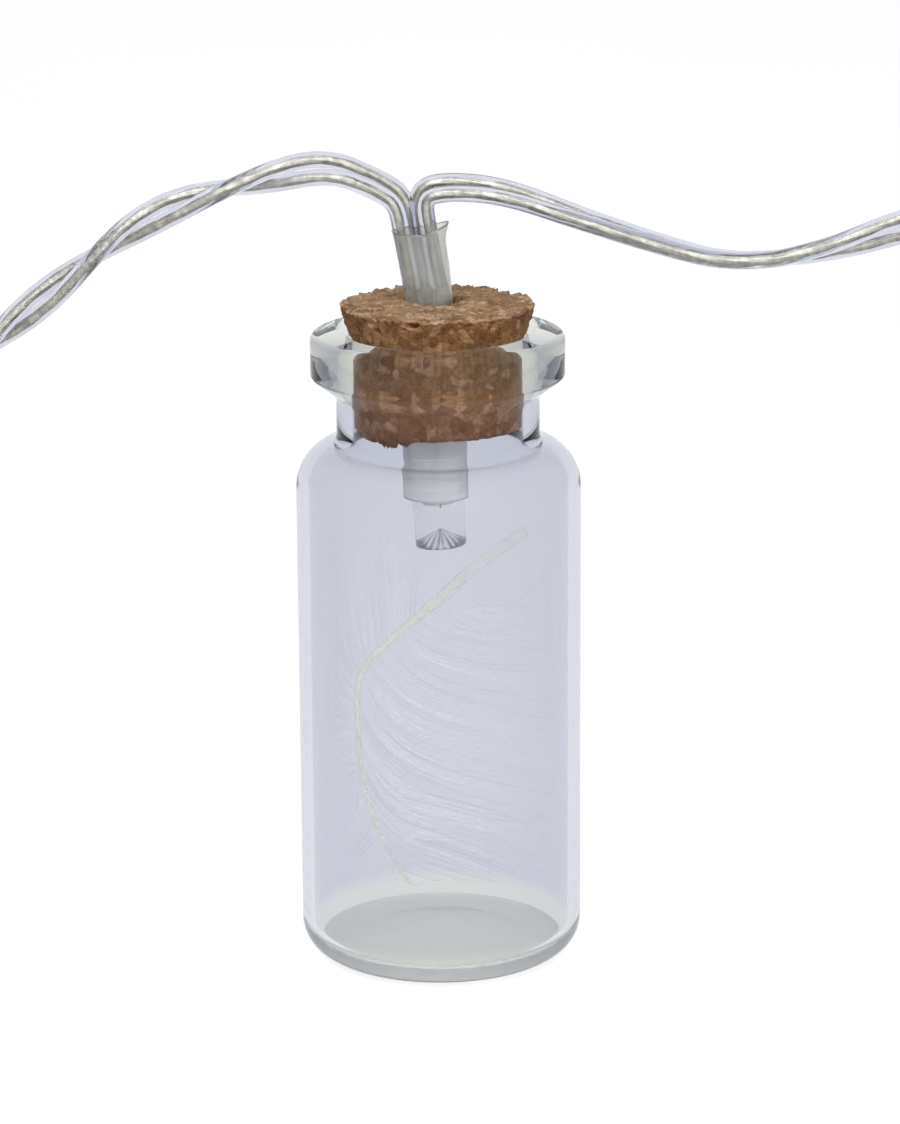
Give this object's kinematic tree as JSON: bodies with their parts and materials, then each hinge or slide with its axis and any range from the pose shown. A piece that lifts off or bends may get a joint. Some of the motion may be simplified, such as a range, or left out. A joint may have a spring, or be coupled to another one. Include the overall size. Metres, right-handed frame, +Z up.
{
  "type": "cork bottle light",
  "caption": "Corked glass vial with a concave light-emitting diode under the cork and a white feather inside, fed by a twisted lead from a slide-cover battery box.",
  "frame": {"origin": "centre of the vial's resting ring, on the surface it stands on", "axes": "+Z up the vial, +X to the viewer's right towards the outgoing pair, +Y away from the viewer"},
  "size_m": [0.2785, 0.027, 0.0779],
  "materials": {
    "bottle_glass": "clear moulded glass",
    "cork": "agglomerated cork granules",
    "clear_sleeve": "clear shrunk tube",
    "clear_insulation": "clear soft insulation",
    "copper": "tinned copper, slightly tarnished",
    "solder": "solder",
    "clear_epoxy": "water-clear epoxy",
    "tinned_steel": "tin-plated",
    "die": "semiconductor",
    "phosphor": "yellow phosphor",
    "gold_wire": "gold",
    "quill": "translucent white quill",
    "down": "white down",
    "tie_plastic": "paper and plastic wire tie",
    "white_plastic": "fine moulded texture",
    "grommet_rubber": "matt",
    "switch_board": "phenolic board",
    "black_plastic": "moulded",
    "cell_jacket": "plain printed jacket",
    "resistor_body": "lacquered"
  },
  "bodies": {
    "vial_and_battery_case": {"glass_bottle": "bottle_glass", "feather_quill": "quill", "feather_vane": "down", "feather_down": "down", "supply_cord": "clear_insulation", "feed_cord": "clear_insulation", "supply_cord_hank": "clear_insulation", "hank_tie": "tie_plastic", "feed_end_cap": "clear_sleeve", "battery_case": "white_plastic", "case_end_lid": "white_plastic", "cord_grommet": "grommet_rubber", "switch_frame": "tinned_steel", "switch_base": "switch_board", "battery_cell_1": "cell_jacket", "battery_cell_2": "cell_jacket", "contact_positive": "tinned_steel", "contact_negative": "tinned_steel", "contact_bridge": "tinned_steel", "dropping_resistor": "resistor_body", "bay_wires": "clear_insulation"},
    "stopper_with_lamp": {"cork_stopper": "cork", "wire_sleeve": "clear_sleeve", "supply_tails": "clear_insulation", "feed_tails": "clear_insulation", "bare_conductors": "copper", "splices": "solder", "leg_insulator": "clear_sleeve", "led_lens": "clear_epoxy", "led_cathode": "tinned_steel", "led_anode": "tinned_steel", "led_die": "die", "led_phosphor": "phosphor", "bond_wire": "gold_wire"},
    "battery_box_cover": {"battery_cover": "white_plastic"},
    "switch_knob": {"switch_slider": "black_plastic", "switch_wiper": "copper"}
  },
  "joints": [
    {"name": "stopper_slide", "type": "slide", "parent": "vial_and_battery_case", "child": "stopper_with_lamp", "axis": [0, 0, 1], "range_m": [0, 0.026], "deforming": ["supply_cord", "feed_cord"]},
    {"name": "battery_cover_slide", "type": "slide", "parent": "vial_and_battery_case", "child": "battery_box_cover", "axis": [-1, 0, 0], "range_m": [0, 0.05]},
    {"name": "switch_slide", "type": "slide", "parent": "vial_and_battery_case", "child": "switch_knob", "axis": [0, 1, 0], "range_m": [0, 0.002]}
  ]
}
